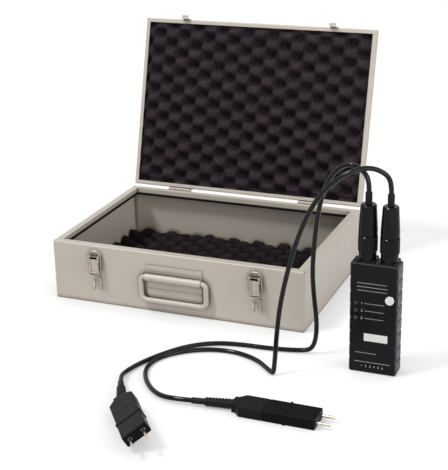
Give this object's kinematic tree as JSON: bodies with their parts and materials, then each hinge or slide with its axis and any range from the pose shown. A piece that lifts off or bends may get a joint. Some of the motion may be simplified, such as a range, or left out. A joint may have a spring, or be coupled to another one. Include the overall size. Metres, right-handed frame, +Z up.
{
  "type": "phase concordance tester with carry case",
  "caption": "Hand-held phase tester with two probe leads on round connectors, beside its open foam-lined sheet-steel carry case with hinged lid, toggle latches and folding handle.",
  "frame": {"origin": "centre of the carry case's underside", "axes": "+X to the case's right along its long side, the case's front faces -Y, +Z up"},
  "size_m": [0.5553, 0.7718, 0.3733],
  "materials": {
    "case_paint": "satin beige-grey enamel",
    "edge_trim": "black push-on edging",
    "foam": "black open-cell egg-crate foam",
    "bright_steel": "nickel-plated steel",
    "tester_plastic": "fine-grained black moulding",
    "connector_plastic": "black moulding",
    "black_steel": "black-oxide screws",
    "white_plastic": "white moulding",
    "lamp": "smoked diffused lens",
    "cap_plastic": "dark grey press-in caps",
    "label": "blank white label",
    "board": "solder-masked laminate",
    "battery_case": "plain sleeve",
    "lead_rubber": "smooth black jacket",
    "boot_rubber": "matt black moulded rubber",
    "probe_plastic": "black moulding",
    "pin_metal": "nickel-plated contact pins"
  },
  "bodies": {
    "case": {"base_pan": "case_paint", "rim_trim": "edge_trim", "base_foam": "foam", "hinge_base_leaf_left": "case_paint", "hinge_base_leaf_right": "case_paint", "hinge_pin_left": "bright_steel", "hinge_pin_right": "bright_steel", "hinge_base_rivets": "case_paint", "latch_plate_left": "case_paint", "latch_plate_right": "case_paint", "latch_pin_left": "bright_steel", "latch_pin_right": "bright_steel", "latch_rivets": "case_paint", "handle_plate": "case_paint"},
    "lid": {"lid_pan": "case_paint", "lid_foam": "foam", "hinge_lid_leaf_left": "case_paint", "hinge_lid_leaf_right": "case_paint", "hinge_lid_rivets": "case_paint", "strike_left": "case_paint", "strike_right": "case_paint", "strike_rivets": "case_paint"},
    "latch_lever_left": {"latch_lever_left": "case_paint"},
    "latch_lever_right": {"latch_lever_right": "case_paint"},
    "latch_bail_left": {"latch_bail_left": "bright_steel"},
    "latch_bail_right": {"latch_bail_right": "bright_steel"},
    "handle": {"handle_bail": "case_paint"},
    "test_button": {"test_button": "white_plastic"},
    "coupling_ring_left": {"coupling_ring_left": "connector_plastic"},
    "coupling_ring_right": {"coupling_ring_right": "connector_plastic"},
    "battery_door": {"battery_door": "tester_plastic", "door_screw": "black_steel"},
    "tester": {"tester_front_shell": "tester_plastic", "tester_back_shell": "tester_plastic", "tester_screws": "black_steel", "battery": "battery_case", "battery_clip": "connector_plastic", "circuit_board": "board", "push_switch": "connector_plastic", "lamps": "lamp", "blanking_caps": "cap_plastic", "blank_label": "label", "socket_screws": "black_steel", "socket_left": "connector_plastic", "plug_left": "connector_plastic", "cable_sleeve_left": "boot_rubber", "lead_left": "lead_rubber", "socket_right": "connector_plastic", "plug_right": "connector_plastic", "cable_sleeve_right": "boot_rubber", "lead_right": "lead_rubber", "probe_a_boot": "boot_rubber", "probe_a_grip": "probe_plastic", "probe_a_body": "probe_plastic", "probe_a_pins": "pin_metal", "probe_b_boot": "boot_rubber", "probe_b_grip": "probe_plastic", "probe_b_body": "probe_plastic", "probe_b_pins": "pin_metal"}
  },
  "joints": [
    {"name": "lid_hinge", "type": "hinge", "parent": "case", "child": "lid", "pos_m": [0, 0.1432, 0.0928], "axis": [1, 0, 0], "range_deg": [0, 105.9]},
    {"name": "latch_lever_left", "type": "hinge", "parent": "case", "child": "latch_lever_left", "pos_m": [-0.128, -0.1465, 0.0745], "axis": [-1, 0, 0], "range_deg": [0, 150]},
    {"name": "latch_bail_left", "type": "hinge", "parent": "latch_lever_left", "child": "latch_bail_left", "pos_m": [-0.128, -0.145, 0.0555], "axis": [1, 0, 0], "range_deg": [0, 150]},
    {"name": "latch_lever_right", "type": "hinge", "parent": "case", "child": "latch_lever_right", "pos_m": [0.128, -0.1465, 0.0745], "axis": [-1, 0, 0], "range_deg": [0, 150]},
    {"name": "latch_bail_right", "type": "hinge", "parent": "latch_lever_right", "child": "latch_bail_right", "pos_m": [0.128, -0.145, 0.0555], "axis": [1, 0, 0], "range_deg": [0, 150]},
    {"name": "handle_fold", "type": "hinge", "parent": "case", "child": "handle", "pos_m": [0, -0.14595, 0.056], "axis": [-1, 0, 0], "range_deg": [0, 180]},
    {"name": "tester_lift", "type": "slide", "parent": "case", "child": "tester", "axis": [0, 0, 1], "range_m": [0, 0.3]},
    {"name": "test_button_press", "type": "slide", "parent": "tester", "child": "test_button", "axis": [0, 1, 0], "range_m": [0, 0.0015], "stiffness_N_per_m": 400},
    {"name": "coupling_ring_left", "type": "hinge", "parent": "tester", "child": "coupling_ring_left", "pos_m": [0.3108, -0.2165, 0.1825], "axis": [0, 0, 1], "range_deg": [0, 90]},
    {"name": "coupling_ring_right", "type": "hinge", "parent": "tester", "child": "coupling_ring_right", "pos_m": [0.3398, -0.2165, 0.1825], "axis": [0, 0, 1], "range_deg": [0, 90]},
    {"name": "battery_door_slide", "type": "slide", "parent": "tester", "child": "battery_door", "axis": [0, 1, 0], "range_m": [0, 0.015]}
  ],
  "couplings": [
    {"joint": "latch_bail_left", "follows": "latch_lever_left", "ratio": 1},
    {"joint": "latch_bail_right", "follows": "latch_lever_right", "ratio": 1}
  ]
}
